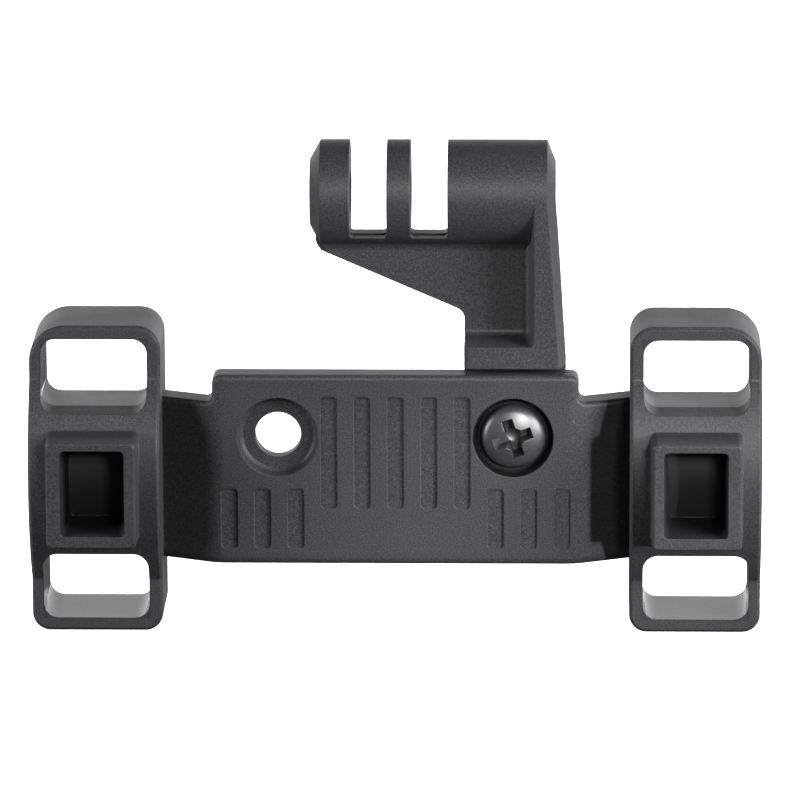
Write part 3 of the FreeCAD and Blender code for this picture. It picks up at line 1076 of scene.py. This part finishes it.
@dataclass
class SnootLamp(Lamp):
    """A lamp with a tube in front of it, which throws a small soft pool of light."""

    pool_radius_mm: float
    bulb_radius_mm: float
    pool_softness: float = 0.9

    def build(self) -> bpy.types.Object:
        """Make the light.

        Returns:
            The light object.
        """
        light = self.hang("SPOT")
        reach_mm = (Vector(self.target_mm) - Vector(self.place_mm)).length
        light.data.spot_size = 2 * math.atan(self.pool_radius_mm / reach_mm)
        light.data.spot_blend = self.pool_softness
        light.data.shadow_soft_size = self.bulb_radius_mm * MM
        return light


@dataclass
class PhotoCamera:
    """The camera, where the photograph was taken from."""

    azimuth_deg: float = 1.46
    elevation_deg: float = 14.36
    roll_deg: float = -0.2
    distance_mm: float = 700.0
    lens_mm: float = 316.2
    sensor_mm: float = 36.0
    nearest_m: float = 0.01
    farthest_m: float = 50.0
    target_mm: tuple[float, float, float] = (0.484, -7.2, 8.27)

    def build(self) -> bpy.types.Object:
        """Make the camera and give it to the scene.

        Returns:
            The camera object.
        """
        azimuth = math.radians(self.azimuth_deg)
        elevation = math.radians(self.elevation_deg)
        back = Vector(
            (
                math.sin(azimuth) * math.cos(elevation),
                -math.cos(azimuth) * math.cos(elevation),
                math.sin(elevation),
            )
        )
        place = (Vector(self.target_mm) + back * self.distance_mm) * MM
        turn = (-back).to_track_quat("-Z", "Y").to_matrix().to_4x4()
        deselect()
        bpy.ops.object.camera_add()
        camera = bpy.context.object
        camera.name = "photo_camera"
        roll = Matrix.Rotation(math.radians(self.roll_deg), 4, "Z")
        camera.matrix_world = Matrix.Translation(place) @ turn @ roll
        camera.data.sensor_width = self.sensor_mm
        camera.data.lens = self.lens_mm
        camera.data.clip_start = self.nearest_m
        camera.data.clip_end = self.farthest_m
        bpy.context.scene.camera = camera
        return camera


@dataclass
class Studio:
    """White light table in a dim room, with its lamps, a bright backdrop and the camera."""

    table: LightTable
    camera: PhotoCamera
    floor_size_mm: float = 6000.0
    sky_hex: str = "#ffffff"
    sky_strength: float = 0.12

    def lamps(self) -> list[SoftBox | SnootLamp]:
        """Lay out the lights at the sides, for the screw's gleam, behind the part and on the plate.

        Returns:
            The soft boxes and the snoot lamp.
        """
        middle = (0.0, -5.0, 8.0)
        even = Gives.EVEN_LIGHT
        return [
            SoftBox("right_box", (175.0, -92.0, 62.0), middle, 0.82, 90.0, 90.0),
            SoftBox("left_box", (-190.0, -78.0, 46.0), middle, 0.48, 85.0, 85.0),
            SoftBox("glint_box", (150.0, -470.0, 190.0), middle, 6.0, 90.0, 90.0, Gives.GLEAM),
            SoftBox("backdrop", (0.0, 1500.0, 300.0), middle, 17.5, 3000.0, 1400.0),
            SoftBox("back_right_box", (150.0, 210.0, 60.0), middle, 0.8, 110.0, 110.0, even),
            SoftBox("back_left_box", (-150.0, 210.0, 60.0), middle, 0.6, 110.0, 110.0, even),
            SnootLamp("plate_lamp", (280.0, -330.0, 50.0), (16.0, -14.0, -5.0), 19.0, 14.0, 17.0),
        ]

    def lay_floor(self, floor_z: float) -> bpy.types.Object:
        """Lay the table's top under the part, which it leaves unlit.

        Args:
            floor_z: Height of the table's top, in metres.

        Returns:
            The floor.
        """
        deselect()
        bpy.ops.mesh.primitive_plane_add(size=self.floor_size_mm * MM)
        floor = bpy.context.object
        floor.name = "table_top"
        bpy.ops.object.mode_set(mode="EDIT")
        bpy.ops.mesh.select_all(action="SELECT")
        bpy.ops.transform.translate(value=(0, 0, floor_z))
        bpy.ops.object.mode_set(mode="OBJECT")
        floor.data.materials.append(self.table.build())
        floor.visible_diffuse = False
        floor.visible_glossy = False
        floor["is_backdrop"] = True
        return floor

    def light_sky(self) -> None:
        """Fill the surroundings with a dim, even light."""
        world = bpy.data.worlds.new("dim_studio")
        world.use_nodes = True
        world.node_tree.nodes.clear()
        sky = add_node(
            world.node_tree,
            "ShaderNodeBackground",
            values={"Color": to_linear(self.sky_hex), "Strength": self.sky_strength},
        )
        add_node(world.node_tree, "ShaderNodeOutputWorld", {"Surface": sky.outputs["Background"]})
        bpy.context.scene.world = world

    def build(self, floor_z: float) -> None:
        """Set up floor, surroundings, lights and camera.

        Args:
            floor_z: Height of the floor, in metres.
        """
        bpy.context.scene.view_settings.view_transform = "Standard"
        self.lay_floor(floor_z)
        self.light_sky()
        for lamp in self.lamps():
            lamp.build()
        self.camera.build()


def main() -> None:
    """Dress the part, build its hardware and set up the studio."""
    logging.basicConfig(level=logging.INFO, format="%(name)s: %(message)s")
    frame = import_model()
    cad_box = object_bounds()
    thread = MetricThread()
    zinc = BareMetal("zinc_plated_steel", "#b4b8bd", "#8e9398").build()
    brass = BareMetal("turned_brass", "#c9a35c", "#a9843f").build()
    pieces = [
        Moulding(Node.BRACKET, MouldedNylon("moulded_nylon_bracket")).build(frame["nodes"]),
        Moulding(Node.ARM, MouldedNylon("moulded_nylon_arm")).build(frame["nodes"]),
        PanHeadScrew(BlackedSteel("black_coated_steel"), thread).build(),
        HexNut(
            "thin_hex_nut",
            Node.ARM_NUT,
            Heading.BACK,
            zinc,
            Slot.STEEL,
            thread,
            length_mm=2.2,
        ).build(),
        KnurledNut(
            "round_press_in_nut",
            Node.FINGER_NUT,
            Heading.RIGHT,
            brass,
            Slot.BRASS,
            thread,
            length_mm=5.0,
        ).build(),
    ]
    for piece in pieces:
        LOG.info("%s: %d faces", piece.name, len(piece.data.polygons))
    Studio(LightTable(), PhotoCamera()).build(cad_box[0].z)


if __name__ == "__main__":
    main()
